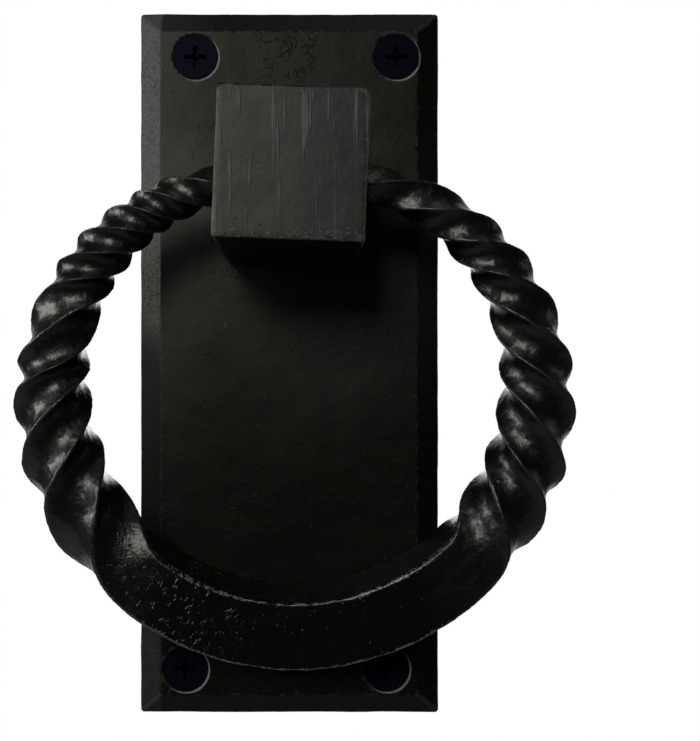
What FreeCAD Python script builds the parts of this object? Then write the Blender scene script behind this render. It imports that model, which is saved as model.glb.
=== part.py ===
"""Ring door knocker: a bevelled iron back plate, a square post, and a ring of twisted square bar.

It hangs as it does on a door. +Z is up, the back of the plate is the plane y = 0 with its middle at the
origin, and the front faces -Y. All lengths are in millimetres and all angles in degrees.
"""
import FreeCAD
import Part
import math
import os
from bisect import bisect_right

from FreeCAD import Vector

# Back plate
plate_width = 65.0
plate_height = 152.4
plate_thickness = 6.0
plate_edge_thickness = 2.6
plate_bevel_width = 4.9
plate_corner_radius = 0.8

# Post, turned a little by hand when it was fixed
post_width = 27.3
post_reach = 39.8
post_side = 0.8
post_from_top = 41.7
post_turn = 2.3
post_side_rounding = 0.8
post_worn_corner_rounding = 2.0
post_front_rounding = 0.6

# Hinge of the ring in the post
hinge_above_post_middle = 0.7
hinge_above_plate = 18.0
pintle_radius = 2.8
pintle_clearance = 0.08
pintle_end_gap = 3.0
pintle_root = 1.0

# Ring
ring_radius = 48.8
hinge_inside_ring = 7.4
ring_side = 1.3
ring_bar_width = 14.2
ring_bar_width_at_sides = 11.9
ring_bar_width_at_ends = 6.2
ring_draw_down = 0.85
ring_flat_arris = 0.4
ring_twist_arris = 0.8
ring_dip = 8.5
ring_dip_span = 100.0
ring_shoulder_clearance = 0.7
ring_rest_gap = 0.05
ring_section_step = 2.5
# where each quarter turn of the twist ends, counted round the ring from its bottom
left_twist_marks = (38.0, 64.0, 78.5, 91.5, 100.0, 114.0, 122.0, 130.0, 138.0, 144.5, 153.0, 168.0)
right_twist_marks = (46.0, 65.0, 76.5, 89.5, 100.5, 113.5, 124.5, 135.0, 150.0, 170.0)

# Mounting screws
screw_from_side = 10.9
screw_from_end = 10.5
top_screws_side = 1.4
bottom_screws_side = -0.7
screw_length = 35.0
screw_head_radius = 4.7
screw_rim = 0.35
screw_sink = 0.15
screw_cone = 2.5
screw_shank_radius = 2.3
screw_collar_radius = 2.5
screw_collar_length = 1.6
screw_root_radius = 1.65
screw_thread_radius = 2.34
screw_pitch = 2.0
screw_flank = 0.75
screw_crest = 0.16
screw_point = 5.0
screw_thread_start_gap = 0.2
screw_hole_clearance = 0.2
screw_seat_clearance = 0.04
cross_width = 4.6
cross_wing = 0.95
cross_depth = 1.8
cross_pit_radius = 0.95
cross_pit_depth = 2.6

# Countersunk machine screw that holds the post from behind
post_screw_radius = 3.0
post_screw_head_radius = 5.9
post_screw_in_post = 10.0
post_screw_end_chamfer = 0.8
post_screw_clearance = 0.3
post_screw_thread_clearance = 0.02
post_screw_sink = 0.3
post_screw_hole_spare = 1.5
hex_across_flats = 4.0
hex_depth = 2.2

# How far a cutting shape runs past what it cuts
cut_past = 1.0
ring_cut_past = 4.0
same_place = 1e-6

back_to_front = Vector(0, -1, 0)
front_to_back = Vector(0, 1, 0)
post_up = plate_height / 2 - post_from_top
hinge_up = post_up + hinge_above_post_middle
hinge_y = -(plate_thickness + hinge_above_plate)
ring_shoulder = post_width / 2 + ring_shoulder_clearance
ring_below_hinge = ring_radius - hinge_inside_ring


def turned(profile, x, z):
    """A round piece about the line through (x, z) along Y, from its (y, radius) corners."""
    corners = [Vector(radius, y, 0) for y, radius in profile]
    face = Part.Face(Part.makePolygon(corners + corners[:1]))
    return face.revolve(Vector(0, 0, 0), front_to_back, 360).translated(Vector(x, 0, z))


def tube(corner_lines):
    """A closed solid whose section is a polygon, from the line that each corner follows."""
    edges = []
    for points in corner_lines:
        line = Part.BSplineCurve()
        line.interpolate(Points=points, Parameters=[float(i) for i in range(len(points))])
        edges.append(line.toShape())
    pairs = list(zip(edges, edges[1:] + edges[:1]))
    faces = [Part.makeRuledSurface(first, second) for first, second in pairs]
    for end in (0, -1):
        ends = [points[end] for points in corner_lines]
        faces.append(Part.Face(Part.makePolygon(ends + ends[:1])))
    shell = Part.makeShell(faces)
    shell.sewShape()
    solid = Part.makeSolid(shell)
    if solid.Volume < 0:
        solid.reverse()
    return solid


def screw_places():
    """The four screws' names and places: two level pairs, each drilled a little off the middle."""
    x = plate_width / 2 - screw_from_side
    z = plate_height / 2 - screw_from_end
    return {
        "top_left": (top_screws_side - x, z),
        "top_right": (top_screws_side + x, z),
        "bottom_left": (bottom_screws_side - x, -z),
        "bottom_right": (bottom_screws_side + x, -z),
    }


def back_plate():
    """The plate, with its bevels, its four countersunk holes and the post screw's hole."""
    half_x = plate_width / 2
    half_z = plate_height / 2

    def rectangle(inset, y):
        x = half_x - inset
        z = half_z - inset
        corners = [Vector(-x, y, -z), Vector(x, y, -z), Vector(x, y, z), Vector(-x, y, z)]
        return Part.makePolygon(corners + corners[:1])

    edge = Part.Face(rectangle(0, 0)).extrude(back_to_front * plate_edge_thickness)
    top = [rectangle(0, -plate_edge_thickness), rectangle(plate_bevel_width, -plate_thickness)]
    plate = edge.fuse(Part.makeLoft(top, True, True)).removeSplitter()

    corners = Part.makeBox(plate_width, plate_thickness, plate_height,
                           Vector(-half_x, -plate_thickness, -half_z))
    upright = [e for e in corners.Edges if abs(e.tangentAt(e.FirstParameter).y) > 0.5]
    plate = plate.common(corners.makeFillet(plate_corner_radius, upright))

    sunk = screw_head_radius + screw_seat_clearance
    clear = screw_collar_radius + screw_hole_clearance
    rim = screw_sink + screw_rim
    cone = screw_cone * (sunk - clear) / (screw_head_radius - screw_shank_radius)
    profile = [(-plate_thickness - cut_past, 0), (-plate_thickness - cut_past, sunk),
               (-plate_thickness + rim, sunk), (-plate_thickness + rim + cone, clear),
               (cut_past, clear), (cut_past, 0)]
    for x, z in screw_places().values():
        plate = plate.cut(turned(profile, x, z))

    sunk = post_screw_head_radius + screw_seat_clearance
    clear = post_screw_radius + post_screw_clearance
    profile = [(cut_past, 0), (cut_past, sunk), (-post_screw_sink, sunk),
               (-post_screw_sink - (sunk - clear), clear), (-plate_thickness - cut_past, clear),
               (-plate_thickness - cut_past, 0)]
    return plate.cut(turned(profile, post_side, post_up))


def post():
    """The square post, with the cross bore that carries the ring and the tapped hole in its foot."""
    half = post_width / 2
    block = Part.makeBox(post_width, post_reach, post_width,
                         Vector(-half, -plate_thickness - post_reach, -half))
    sides = [e for e in block.Edges if abs(e.tangentAt(e.FirstParameter).y) > 0.5]
    worn = [e for e in sides if e.BoundBox.XMin > 0 and e.BoundBox.ZMin > 0]
    block = block.makeFillet(post_side_rounding, [e for e in sides if e not in worn])
    edge = half - same_place
    worn = [e for e in block.Edges if e.BoundBox.XMin > edge and e.BoundBox.ZMin > edge]
    block = block.makeFillet(post_worn_corner_rounding, worn)
    front = [e for e in block.Edges if e.BoundBox.YMax < -plate_thickness - post_reach + same_place]
    block = block.makeFillet(post_front_rounding, front)
    block.rotate(Vector(0, 0, 0), front_to_back, post_turn)
    block.translate(Vector(post_side, 0, post_up))

    bore = Part.makeCylinder(pintle_radius + pintle_clearance, 2 * post_width,
                             Vector(post_side - post_width, hinge_y, hinge_up), Vector(1, 0, 0))
    tapped = Part.makeCylinder(post_screw_radius + post_screw_thread_clearance,
                               post_screw_in_post + post_screw_hole_spare,
                               Vector(post_side, -plate_thickness, post_up), back_to_front)
    return block.cut(bore).cut(tapped)


def post_screw():
    """The hex socket screw through the plate into the post's foot, its head sunk in the plate's back."""
    head = post_screw_head_radius
    shank = post_screw_radius
    end = plate_thickness + post_screw_in_post
    profile = [(-post_screw_sink, 0), (-post_screw_sink, head), (-post_screw_sink - (head - shank), shank),
               (-end + post_screw_end_chamfer, shank), (-end, shank - post_screw_end_chamfer), (-end, 0)]
    screw = turned(profile, post_side, post_up)
    corner = hex_across_flats / 2 / math.cos(math.radians(30))
    points = []
    for turn in range(0, 360, 60):
        across = corner * math.cos(math.radians(turn))
        up = corner * math.sin(math.radians(turn))
        points.append(Vector(post_side + across, -post_screw_sink, post_up + up))
    socket = Part.Face(Part.makePolygon(points + points[:1])).extrude(back_to_front * hex_depth)
    return screw.cut(socket)


def twist_at(angle, marks):
    """How far the bar is turned at this angle from the ring's bottom, eased in at the first mark."""
    quarter = bisect_right(marks, angle)
    if quarter == 0:
        return 0.0
    if quarter >= len(marks):
        return 90.0 * (len(marks) - 1)
    lengths = [b - a for a, b in zip(marks, marks[1:])]
    here = lengths[quarter - 1]
    share = (angle - marks[quarter - 1]) / here
    before = 0.0 if quarter == 1 else 2 * here / (here + lengths[quarter - 2])
    after = 1.0 if quarter == len(lengths) else 2 * here / (here + lengths[quarter])
    eased = (share ** 3 - 2 * share ** 2 + share) * before
    eased += (3 * share ** 2 - 2 * share ** 3)
    eased += (share ** 3 - share ** 2) * after
    return 90.0 * (quarter - 1 + eased)


def bar_half_width(angle):
    """Half the bar's width across its flats: full at the bottom, drawn down towards the ends."""
    sides = 90.0
    if angle < sides:
        return (ring_bar_width + (ring_bar_width_at_sides - ring_bar_width) * (angle / sides) ** 2) / 2
    end = ring_end_angle()
    share = min(1.0, (angle - sides) / (end - sides)) ** ring_draw_down
    return (ring_bar_width_at_sides + (ring_bar_width_at_ends - ring_bar_width_at_sides) * share) / 2


def bar_arris(angle, marks):
    """How much of each arris is worn off: little on the flat bottom, more where the bar is twisted."""
    start, end = marks[0] / 2, marks[0]
    share = min(1.0, max(0.0, (angle - start) / (end - start)))
    arris = ring_flat_arris + (ring_twist_arris - ring_flat_arris) * share
    return arris * bar_half_width(angle) / (ring_bar_width / 2)


def ring_radius_at(angle):
    """The centreline's radius: a circle, a little flattened on each side of the post."""
    from_top = 180.0 - angle
    return ring_radius - ring_dip * max(0.0, 1 - from_top / ring_dip_span) ** 2


def ring_end_angle():
    """The angle from the ring's bottom at which the bar meets its shoulder."""
    return 180.0 - math.degrees(math.asin(ring_shoulder / ring_radius))


def ring_section(angle, side):
    """The bar's eight corners at one angle, in the ring's own plane with the hinge at the origin."""
    marks = right_twist_marks if side > 0 else left_twist_marks
    half = bar_half_width(angle)
    round_angle = math.radians(angle)
    radius = ring_radius_at(angle)
    outward = Vector(side * math.sin(round_angle), 0, -math.cos(round_angle))
    middle = Vector(0, 0, -ring_below_hinge) + outward * radius
    near = half - bar_arris(angle, marks)
    corners = []
    for quarter in range(4):
        for along, across in ((half, near), (near, half)):
            turn = math.atan2(across, along) + math.radians(90 * quarter + twist_at(angle, marks))
            reach = math.hypot(along, across)
            across_bar = outward * math.cos(turn) + back_to_front * math.sin(turn)
            corners.append(middle + across_bar * reach)
    return corners


def ring_tilt():
    """How far the ring leans in from the vertical before its bottom bar lies on the plate."""
    drop = ring_below_hinge + ring_radius
    half = ring_bar_width / 2
    tilt = 0.0
    for _ in range(20):
        back = half * math.cos(tilt) + (half - ring_flat_arris) * math.sin(tilt)
        tilt = math.asin((hinge_above_plate - ring_rest_gap - back) / drop)
    return math.degrees(tilt)


def ring():
    """The forged ring with its twisted sides, square shoulders and two round pintles, as it rests."""
    steps = int(2 * (ring_end_angle() + ring_cut_past) / ring_section_step)
    end = steps * ring_section_step / 2
    lines = [[] for _ in range(8)]
    for step in range(steps + 1):
        angle = step * ring_section_step - end
        side = 1 if angle >= 0 else -1
        corners = ring_section(abs(angle), side)
        for line, corner in zip(lines, corners):
            line.append(corner)
    bar = tube(lines)
    post_middle = post_side - ring_side
    between = Part.makeBox(2 * ring_shoulder, 4 * ring_bar_width, 4 * ring_bar_width,
                           Vector(post_middle - ring_shoulder, -2 * ring_bar_width, -2 * ring_bar_width))
    bar = bar.cut(between)
    for side in (-1, 1):
        inner = pintle_end_gap / 2
        length = ring_shoulder + pintle_root - inner
        start = Vector(post_middle + side * inner, 0, 0)
        bar = bar.fuse(Part.makeCylinder(pintle_radius, length, start, Vector(side, 0, 0)))
    bar.rotate(Vector(0, 0, 0), Vector(1, 0, 0), ring_tilt())
    return bar.translated(Vector(ring_side, hinge_y, hinge_up))


def thread_profile(start):
    """The thread's ridges from (distance from the head, radius) corners, smaller along the point."""
    taper = screw_length - screw_point
    depth = screw_thread_radius - screw_root_radius
    profile = []
    middle = start + screw_flank
    while middle + screw_flank < screw_length - screw_flank:
        for offset, share in ((-screw_flank, 0), (-screw_crest, 1), (screw_crest, 1), (screw_flank, 0)):
            left = min(1.0, (screw_length - middle - offset) / (screw_length - taper))
            height = depth * share * math.sqrt(left)
            profile.append((middle + offset, screw_root_radius * left + height))
        middle += screw_pitch
    return profile


def mounting_screw():
    """A countersunk wood screw with a cross recess, its head's top at the origin, pointing to +Y."""
    collar = plate_thickness - screw_sink
    thread_start = collar + screw_collar_length
    profile = [(0, 0), (0, screw_head_radius), (screw_rim, screw_head_radius),
               (screw_rim + screw_cone, screw_shank_radius), (collar, screw_shank_radius),
               (collar, screw_collar_radius), (thread_start, screw_collar_radius),
               (thread_start, screw_root_radius)]
    profile += thread_profile(thread_start + screw_thread_start_gap)
    profile.append((screw_length, 0))
    screw = turned(profile, 0, 0)
    wings = Part.makeBox(cross_width, cross_depth, cross_wing, Vector(-cross_width / 2, 0, -cross_wing / 2))
    for turn in (0, 90):
        wing = wings.copy()
        wing.rotate(Vector(0, 0, 0), front_to_back, turn)
        screw = screw.cut(wing)
    pit = Part.makeCone(cross_pit_radius, cross_wing / 2, cross_pit_depth, Vector(0, 0, 0), front_to_back)
    return screw.cut(pit)


def write(name, shape):
    """Checks that the piece is one sound solid and writes its STEP file."""
    solids = shape.Solids
    print(f"{name}: solids {len(solids)} valid {shape.isValid()} volume {shape.Volume:.1f} {shape.BoundBox}")
    solids[0].exportStep(f"parts/{name}.step")


os.makedirs("parts", exist_ok=True)
write("back_plate", back_plate())
write("post", post())
write("post_screw", post_screw())
write("ring", ring())
one_screw = mounting_screw()
for place, (x, z) in screw_places().items():
    write(f"mounting_screw_{place}", one_screw.translated(Vector(x, -plate_thickness + screw_sink, z)))
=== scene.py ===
import math
import bpy
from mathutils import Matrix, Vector


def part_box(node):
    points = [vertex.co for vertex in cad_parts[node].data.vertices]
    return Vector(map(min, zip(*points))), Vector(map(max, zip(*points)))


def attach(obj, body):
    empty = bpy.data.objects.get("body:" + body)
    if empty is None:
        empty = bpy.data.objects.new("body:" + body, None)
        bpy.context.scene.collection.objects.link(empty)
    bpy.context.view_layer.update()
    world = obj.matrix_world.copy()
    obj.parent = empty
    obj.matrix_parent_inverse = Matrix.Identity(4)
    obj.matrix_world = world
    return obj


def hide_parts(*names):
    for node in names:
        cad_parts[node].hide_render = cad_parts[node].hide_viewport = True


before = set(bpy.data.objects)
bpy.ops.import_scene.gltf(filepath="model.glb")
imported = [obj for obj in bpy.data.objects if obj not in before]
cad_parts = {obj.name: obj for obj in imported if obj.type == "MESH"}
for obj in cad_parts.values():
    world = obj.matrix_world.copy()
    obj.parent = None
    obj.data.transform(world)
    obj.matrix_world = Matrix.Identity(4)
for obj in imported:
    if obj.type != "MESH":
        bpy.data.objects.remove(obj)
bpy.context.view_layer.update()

MM = 0.001

# ---- Camera -------------------------------------------------------------------------------------
# The knocker hangs on its plate's back. The camera looks straight in from close by, a little right of
# the middle and a little below it, so the post flares towards it and its underside shows.
plate_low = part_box("back_plate")[0]
eye_distance = 215 * MM
eye_right = 2.7 * MM
eye_up = -3.9 * MM
lens = 48.7
picture_right = 0.065
picture_up = 0.0142

camera_data = bpy.data.cameras.new("camera")
camera_data.lens = lens
camera_data.shift_x = picture_right
camera_data.shift_y = picture_up
camera = bpy.data.objects.new("camera", camera_data)
camera.location = (eye_right, plate_low.y - eye_distance, eye_up)
camera.rotation_euler = (math.radians(90), 0, 0)
bpy.context.scene.collection.objects.link(camera)
bpy.context.scene.camera = camera
bpy.context.scene.view_settings.view_transform = "Standard"

# ---- Back plate ---------------------------------------------------------------------------------
# One thick iron plate, its four edges ground by hand to wide bevels and its screw holes sunk. The
# skin is left as it was rolled and hammered, with soft edges, and is painted matt black.
# Light is painted into that paint as well: a paler patch at the upper left, a highlight on the left
# bevel and on each countersink's rim, and the ring's shadow on the left bevel.
plate_bevel = 4.9 * MM
plate_grain = 0.4 * MM
plate_wave = 0.22 * MM
plate_wave_size = 9 * MM
plate_faces = 130000
plate_shine = 0.115
plate_tint = (1, 1, 0.82, 1)
plate_black = (0.0012, 0.0014, 0.0007, 1)
plate_faded = (0.0036, 0.0039, 0.0026, 1)
# The next three colours carry painted light: a paler patch where the light falls, a highlight on the left
# bevel together with real worn edges, and highlights on the countersink rims.
plate_painted_light = (0.027, 0.0275, 0.0245, 1)
plate_bare_and_highlight = (0.055, 0.055, 0.054, 1)
plate_rim_highlight = (0.14, 0.14, 0.14, 1)
plate_relief = 0.06 * MM
corners = ("top_left", "top_right", "bottom_left", "bottom_right")

weld_distance = 0.01 * MM
mostly_inward = 0.9


def worked(piece, kind, **settings):
    """Works the piece with one modifier, applied at once."""
    tool = piece.modifiers.new(kind, kind)
    for key, value in settings.items():
        setattr(tool, key, value)
    bpy.ops.object.modifier_apply(modifier=tool.name)


def lumps(name, size):
    """A cloudy relief whose lumps are about size metres across."""
    texture = bpy.data.textures.new(name, "CLOUDS")
    texture.noise_scale = size
    texture.noise_depth = 1
    return texture


def forged(node, name, grain, wave, wave_size, faces):
    """A CAD node's shape as handmade iron: edges softened, surface uneven, proud edges marked."""
    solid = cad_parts[node]
    bpy.ops.object.select_all(action="DESELECT")
    solid.select_set(True)
    bpy.context.view_layer.objects.active = solid
    bpy.ops.object.duplicate()
    piece = bpy.context.object
    piece.name = name
    bpy.ops.object.mode_set(mode="EDIT")
    bpy.ops.mesh.select_all(action="SELECT")
    bpy.ops.mesh.remove_doubles(threshold=weld_distance)
    bpy.ops.object.mode_set(mode="OBJECT")
    worked(piece, "REMESH", mode="VOXEL", voxel_size=grain, use_smooth_shade=True)
    worked(piece, "SMOOTH", factor=0.5, iterations=2)
    for relief, size, height in (("_wave", wave_size, wave), ("_skin", 3 * grain, wave / 4)):
        texture = lumps(name + relief, size)
        worked(piece, "DISPLACE", texture=texture, strength=height, mid_level=mostly_inward)
    triangles = 2 * len(piece.data.polygons)
    worked(piece, "DECIMATE", ratio=min(1.0, faces / triangles))
    bpy.ops.geometry.color_attribute_add(name="proud_edges", domain="POINT", color=(1, 1, 1, 1))
    bpy.ops.paint.vertex_color_dirt(blur_strength=1.0, blur_iterations=2)
    piece.data.materials.clear()
    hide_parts(node)
    return piece


class Field:
    """A shader value that adds its own Math nodes when it is used in a sum."""

    def __init__(self, finish, socket):
        self.finish = finish
        self.socket = socket

    def maths(self, operation, *values):
        return self.finish.node("ShaderNodeMath", {"operation": operation}, *values)

    def __add__(self, other):
        return self.maths("ADD", self, other)

    def __radd__(self, other):
        return self.maths("ADD", other, self)

    def __sub__(self, other):
        return self.maths("SUBTRACT", self, other)

    def __rsub__(self, other):
        return self.maths("SUBTRACT", other, self)

    def __mul__(self, other):
        return self.maths("MULTIPLY", self, other)

    def __rmul__(self, other):
        return self.maths("MULTIPLY", other, self)

    def __abs__(self):
        return self.maths("ABSOLUTE", self)


class Finish:
    """The nodes of a material or of the world, added one call at a time."""

    def __init__(self, owner):
        owner.use_nodes = True
        self.owner = owner
        self.tree = owner.node_tree
        self.shader = self.tree.nodes.get("Principled BSDF")

    def node(self, kind, settings=None, *values, output=0, **named):
        node = self.tree.nodes.new(kind)
        for key, value in (settings or {}).items():
            setattr(node, key, value)
        sockets = list(zip(node.inputs, values))
        sockets += [(node.inputs[key.replace("_", " ")], value) for key, value in named.items()]
        for socket, value in sockets:
            self.feed(socket, value)
        return Field(self, node.outputs[output])

    def feed(self, socket, value):
        if isinstance(value, Field):
            self.tree.links.new(value.socket, socket)
        else:
            socket.default_value = value

    def set(self, **named):
        for key, value in named.items():
            self.feed(self.shader.inputs[key.replace("_", " ")], value)

    def place(self, stretch=(1, 1, 1)):
        where = self.node("ShaderNodeTexCoord", output="Object")
        return self.node("ShaderNodeMapping", None, where, Scale=stretch)

    def along(self, axis):
        return self.node("ShaderNodeSeparateXYZ", None, self.place(), output=axis)

    def noise(self, size, stretch=(1, 1, 1), detail=2.0):
        where = self.place(stretch)
        return self.node("ShaderNodeTexNoise", None, Vector=where, Scale=1 / size, Detail=detail)

    def above(self, value, low, high):
        return self.node("ShaderNodeMapRange", {"interpolation_type": "SMOOTHSTEP"}, value, low, high)

    def near(self, middle, inside, outside):
        distance = {"operation": "DISTANCE"}
        apart = self.node("ShaderNodeVectorMath", distance, self.place(), middle, output="Value")
        return 1 - self.above(apart, inside, outside)

    def bump(self, height, distance, strength=1.0):
        return self.node("ShaderNodeBump", None, Strength=strength, Distance=distance, Height=height)

    def shade(self, share, first, second):
        """One colour over another by share. A Mix node's colours are its inputs 6 and 7 and its output 2."""
        mix = self.tree.nodes.new("ShaderNodeMix")
        mix.data_type = "RGBA"
        for place, value in ((0, share), (6, first), (7, second)):
            self.feed(mix.inputs[place], value)
        return Field(self, mix.outputs[2])

    def proud_edges(self, low, high):
        """1 on the piece's proud edges. An Attribute node's single value is its output 2."""
        edges = self.node("ShaderNodeAttribute", {"attribute_name": "proud_edges"}, output=2)
        return self.above(edges, low, high)


plate = forged("back_plate", "forged_plate", plate_grain, plate_wave, plate_wave_size, plate_faces)
paint = Finish(bpy.data.materials.new("plate_paint"))
grain = paint.noise(0.5 * MM)
patches = paint.above(paint.noise(9 * MM), 0.54, 0.66)
crusted = paint.near((0, plate_low.y, 67 * MM), 3 * MM, 8 * MM)
crusted = crusted + paint.near((-14 * MM, plate_low.y, 23 * MM), 3 * MM, 8 * MM)
worm = 1 - paint.above(abs(paint.noise(1.4 * MM, detail=1.0) - 0.5), 0.0, 0.06)
worm = worm * paint.above(paint.noise(2.4 * MM), 0.52, 0.58) * crusted
specks = paint.above(paint.noise(0.8 * MM), 0.56, 0.68)
across = paint.along("X")
upward = paint.along("Z")
bevel_edge = plate_low.x + plate_bevel
left_bevel = 1 - paint.above(across, bevel_edge - 0.6 * MM, bevel_edge + 0.4 * MM)
left_side = 1 - paint.above(across, plate_low.x + 5 * MM, plate_low.x + 20 * MM)
# Painted light: the paint is made paler left of and around the post and up the plate's left side, where the
# lamp's light falls.
painted_light_patch = paint.near((-27 * MM, plate_low.y, 34 * MM), 2 * MM, 22 * MM) * 0.9
painted_light_patch = painted_light_patch + left_side * paint.above(upward, -40 * MM, 10 * MM) * 0.5
painted_light_patch = painted_light_patch + paint.near((4 * MM, plate_low.y, 18 * MM), 5 * MM, 44 * MM) * 0.5
# Painted shadow: the left bevel's paint is darker and rougher from about its middle most of the way down,
# where the ring's shadow falls.
dull_painted_shadow = left_bevel * paint.above(upward, -52 * MM, -44 * MM) * (1 - paint.above(upward, 0, 10 * MM))
tone = paint.noise(12 * MM) * 0.7 + grain * 0.3
colour = paint.shade(tone, plate_black, plate_faded)
colour = paint.shade(painted_light_patch, colour, plate_painted_light)
# Painted highlight: the left bevel gets paler paint that grows brighter upwards, standing in for the left
# lamp's reflection; the proud edges add real worn paint on top.
bare_and_highlight = 0.25 + paint.above(upward, 0, 12 * MM) * 0.4 + paint.above(upward, 20 * MM, 62 * MM) * 1.2
bare_and_highlight = (left_bevel * bare_and_highlight - dull_painted_shadow * 0.25) * (0.75 + specks * 0.5)
colour = paint.shade(bare_and_highlight + paint.proud_edges(0.11, 0.16) * 0.3, colour, plate_bare_and_highlight)
for corner in corners:
    head_low, head_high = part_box("mounting_screw_" + corner)
    head = (head_high.x - head_low.x) / 2
    middle = Vector((head_low.x + head, plate_low.y, head_low.z + head))
    # Painted highlight: a pale crescent on the lower right of each countersink's rim, where the light from
    # the upper left catches it.
    aside = middle + Vector((0.3 * MM, 0, -0.25 * MM))
    rim_highlight = paint.near(aside, head + 0.25 * MM, head + 0.4 * MM)
    rim_highlight = rim_highlight * (1 - paint.near(middle, head + 0.2 * MM, head + 0.4 * MM))
    colour = paint.shade(rim_highlight, colour, plate_rim_highlight)
relief = grain * (0.3 + left_bevel * 1.2) + specks * (patches * 0.6 + left_bevel) + worm * 1.6
paint.set(Base_Color=colour, Roughness=0.38 + grain * 0.12 + dull_painted_shadow * 0.5,
          Normal=paint.bump(relief, plate_relief))
paint.set(Specular_IOR_Level=plate_shine, Specular_Tint=plate_tint)
plate.data.materials.append(paint.owner)
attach(plate, "mounted")

# ---- Post ---------------------------------------------------------------------------------------
# A square iron block set a little crooked and held by a screw from behind. Its face is dressed with
# a file, which leaves upright scratches and a greyer, drier paint, and its edges are nicked.
# Light is painted in too: a highlight down the face's left edge, and shade on its right part and
# along its top edges.
post_low, post_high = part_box("post")
post_grain = 0.3 * MM
post_wave = 0.16 * MM
post_wave_size = 5 * MM
post_faces = 90000
post_shine = 0.18
post_tint = (1, 1, 0.9, 1)
post_black = (0.0012, 0.0013, 0.001, 1)
post_faded = (0.003, 0.0031, 0.0026, 1)
face_dark = (0.014, 0.0143, 0.0125, 1)
face_pale = (0.046, 0.0467, 0.042, 1)
# The next three colours carry painted light: shade on the face's right part, a highlight down its left edge
# together with real worn edges, and shade on the top edges.
face_shaded = (0.0075, 0.0077, 0.0068, 1)
post_bare_and_highlight = (0.085, 0.085, 0.08, 1)
post_painted_shade = (0.0005, 0.0005, 0.0004, 1)
post_relief = 0.07 * MM

post = forged("post", "forged_post", post_grain, post_wave, post_wave_size, post_faces)
paint = Finish(bpy.data.materials.new("post_paint"))
grain = paint.noise(0.45 * MM)
depth = paint.along("Y")
face = 1 - paint.above(depth, post_low.y + 0.3 * MM, post_low.y + 1.2 * MM)
upward = paint.along("Z")
across = paint.along("X")
strokes = paint.above(paint.noise(1.1 * MM, (1, 1, 0.06)), 0.58, 0.68)
high_left = paint.above(upward - across * 0.5, 24 * MM, 36 * MM)
strokes = strokes * paint.above(paint.noise(7 * MM), 0.4, 0.55) * (0.25 + high_left * 0.75) * face
nicks = paint.above(paint.noise(1.2 * MM), 0.69, 0.77)
foot = (1 - paint.above(upward, post_low.z + 1.2 * MM, post_low.z + 3.5 * MM)) * face
crumbs = paint.above(paint.noise(0.8 * MM), 0.55, 0.63) * foot
# Painted highlight: a pale strip down the left edge of the post's face, where the light catches its rounded
# edge.
left_highlight_strip = (1 - paint.above(across, post_low.x + 1.4 * MM, post_low.x + 2.2 * MM)) * face
right_side = paint.above(across, post_low.x + 9 * MM, post_high.x)
top_edge = paint.above(upward, post_high.z - 1.6 * MM, post_high.z - 0.9 * MM)
edges = paint.proud_edges(0.03, 0.08)
tone = paint.noise(5 * MM) * 0.6 + grain * 0.4
colour = paint.shade(tone, post_black, post_faded)
dressed = paint.shade(tone, face_dark, face_pale)
# Painted shade: the right part of the post's face is darkened, away from the light.
dressed = paint.shade(right_side * 0.75, dressed, face_shaded)
colour = paint.shade(face, colour, dressed)
# File strokes, worn edges and crumbs at the foot are real marks; the strip down the left edge adds a painted
# highlight.
bare_and_highlight = strokes * 0.6 + edges * 0.5 + crumbs * 0.7 + left_highlight_strip * 0.25
colour = paint.shade(bare_and_highlight, colour, post_bare_and_highlight)
# Painted shade: the proud edges along the post's top are darkened, as they face away from the light.
colour = paint.shade(edges * top_edge, colour, post_painted_shade)
relief = grain * 0.4 - nicks * 0.9 + strokes * 0.9 + crumbs * 1.5
paint.set(Base_Color=colour, Roughness=0.42 + grain * 0.1, Normal=paint.bump(relief, post_relief))
paint.set(Specular_IOR_Level=post_shine, Specular_Tint=post_tint)
post.data.materials.append(paint.owner)
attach(post, "mounted")

# ---- Ring ---------------------------------------------------------------------------------------
# One square bar, twisted hot in opposite directions up its two sides and bent round, with the bottom
# left flat. Its paint is glossier than the plate's, and scale has pitted it where the left twist starts.
ring_grain = 0.3 * MM
ring_wave = 0.42 * MM
ring_wave_size = 5 * MM
ring_faces = 190000
ring_shine = 0.46
ring_tint = (1, 1, 0.93, 1)
ring_black = (0.0004, 0.0004, 0.0003, 1)
ring_faded = (0.0012, 0.0012, 0.001, 1)
ring_rubbed = (0.11, 0.11, 0.105, 1)
ring_relief = 0.16 * MM

ring = forged("ring", "forged_ring", ring_grain, ring_wave, ring_wave_size, ring_faces)
paint = Finish(bpy.data.materials.new("ring_paint"))
grain = paint.noise(0.5 * MM)
hammered = paint.noise(2.4 * MM, detail=2.5)
scaled = paint.near((-25 * MM, -14 * MM, -48 * MM), 13 * MM, 21 * MM)
crusted = paint.near((-37 * MM, -14 * MM, -40 * MM), 5 * MM, 13 * MM)
worm = 1 - paint.above(abs(paint.noise(1.5 * MM, (1, 1, 0.55), 1) - 0.5), 0.0, 0.045)
worm = worm * paint.above(paint.noise(2.2 * MM), 0.5, 0.56) * scaled
bottom = paint.near((1 * MM, -12 * MM, -54 * MM), 26 * MM, 36 * MM)
rubbed = paint.proud_edges(0.105, 0.14) * (0.1 + bottom * 0.9)
tone = paint.noise(7 * MM) * 0.5 + grain * 0.5
colour = paint.shade(tone, ring_black, ring_faded)
colour = paint.shade(rubbed * 0.85, colour, ring_rubbed)
relief = grain * (0.2 + crusted * 1.2) + hammered * (1.5 - bottom) + worm * 1.1
paint.set(Base_Color=colour, Roughness=0.29 + grain * 0.14 - bottom * 0.12,
          Normal=paint.bump(relief, ring_relief))
paint.set(Specular_IOR_Level=ring_shine, Specular_Tint=ring_tint)
ring.data.materials.append(paint.owner)
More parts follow.
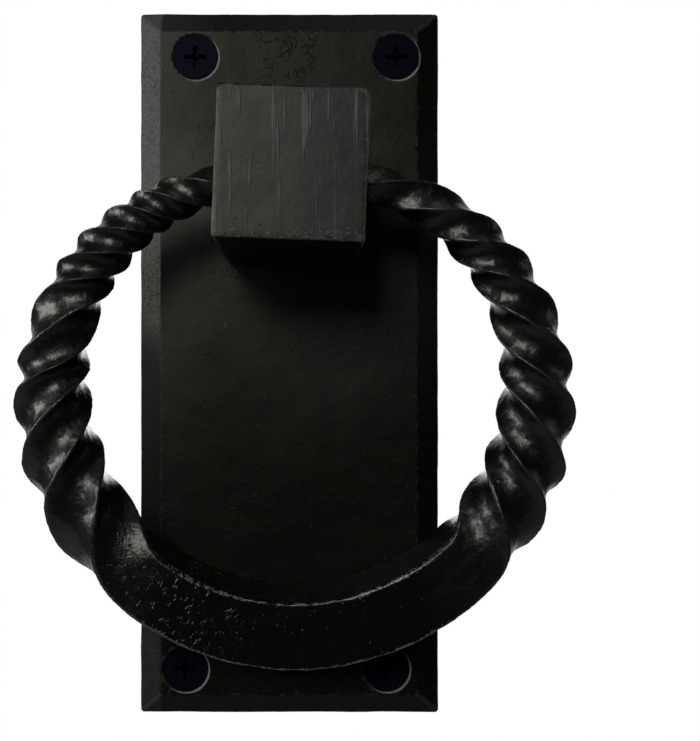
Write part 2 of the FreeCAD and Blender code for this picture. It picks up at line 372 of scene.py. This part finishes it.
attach(ring, "knocker")

# ---- Screws -------------------------------------------------------------------------------------
# Hardened wood screws with a blue-black chemical finish, driven through the plate into the door, and
# a machine screw of the same finish from the plate's back into the post's foot.
screw_shine = 0.02
screw_tint = (0.62, 0.55, 1, 1)
screw_dark = (0.002, 0.0018, 0.0044, 1)
screw_pale = (0.0036, 0.0033, 0.0074, 1)
screw_relief = 0.02 * MM

blued = Finish(bpy.data.materials.new("screw_black"))
grain = blued.noise(0.3 * MM)
blued.set(Base_Color=blued.shade(grain, screw_dark, screw_pale), Roughness=0.36 + grain * 0.1,
          Normal=blued.bump(grain, screw_relief, 0.6))
blued.set(Specular_IOR_Level=screw_shine, Specular_Tint=screw_tint)
for name in ["mounting_screw_" + corner for corner in corners] + ["post_screw"]:
    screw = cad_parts[name]
    screw.data.materials.clear()
    screw.data.materials.append(blued.owner)

# ---- Floor, backdrop and lights -----------------------------------------------------------------
# A plain pale floor well below the knocker, a white card behind it, and soft lamps from the left and
# the front, with weak ones above, right and behind. The rest of the room is a plain dim grey.
floor_z = -500 * MM
pale = (0.45, 0.45, 0.45, 1)
dim = 0.035


def rays(finish):
    """1 where the camera, a shine or light that comes through looks, and 0 for all other light."""
    path = finish.tree.nodes.new("ShaderNodeLightPath")
    seen, through, shine = (Field(finish, path.outputs[kind]) for kind in
                            ("Is Camera Ray", "Is Transmission Ray", "Is Glossy Ray"))
    return seen + through + shine


def card(name, corner, run_x, run_y, run_z, white):
    """A flat pale sheet from one corner, plain, or white to all that looks at it."""
    bpy.ops.object.select_all(action="DESELECT")
    bpy.ops.mesh.primitive_plane_add(size=1, location=(0, 0, 0))
    sheet = bpy.context.object
    sheet.name = name
    if run_z:
        sheet.rotation_euler = (math.radians(90), 0, 0)
    sheet.dimensions = (run_x, run_y or run_z, 0)
    sheet.location = Vector(corner) + Vector((run_x, run_y, run_z)) / 2
    bpy.ops.object.transform_apply(location=True, rotation=True, scale=True)
    finish = Finish(bpy.data.materials.new(name))
    finish.set(Base_Color=pale, Roughness=0.9)
    if white:
        glow = finish.node("ShaderNodeEmission", None, (1, 1, 1, 1), 1.0)
        plain = Field(finish, finish.shader.outputs[0])
        mixed = finish.node("ShaderNodeMixShader", None, rays(finish), plain, glow)
        finish.tree.links.new(mixed.socket, finish.tree.nodes["Material Output"].inputs[0])
    sheet.data.materials.append(finish.owner)


card("floor", (-2, -0.35, floor_z), run_x=4, run_y=1.25, run_z=0, white=False)
card("backdrop", (-0.7, 0.9, floor_z), run_x=1.4, run_y=0, run_z=1.3, white=True)

room = Finish(bpy.data.worlds.new("room"))
air = room.tree.nodes["Background"]
air.inputs["Color"].default_value = (1, 1, 1, 1)
air.inputs["Strength"].default_value = dim
bpy.context.scene.world = room.owner


def lamp(name, place, size, power):
    """A square soft lamp aimed at the plate's middle."""
    light = bpy.data.lights.new(name, "AREA")
    light.size = size
    light.energy = power
    stand = bpy.data.objects.new(name, light)
    stand.location = place
    stand.rotation_euler = (-Vector(place)).to_track_quat("-Z", "Y").to_euler()
    stand.visible_camera = False
    bpy.context.scene.collection.objects.link(stand)


lamp("left", (-0.9, -0.22, 0.2), 0.35, 4.4)
lamp("front_left", (-0.22, -0.85, 0.36), 0.3, 4.2)
lamp("top", (0.1, -0.1, 0.9), 0.4, 0.4)
lamp("right", (0.9, 0.2, 0.2), 0.35, 0.2)
lamp("back", (0.1, 0.8, 0.12), 0.4, 1.4)
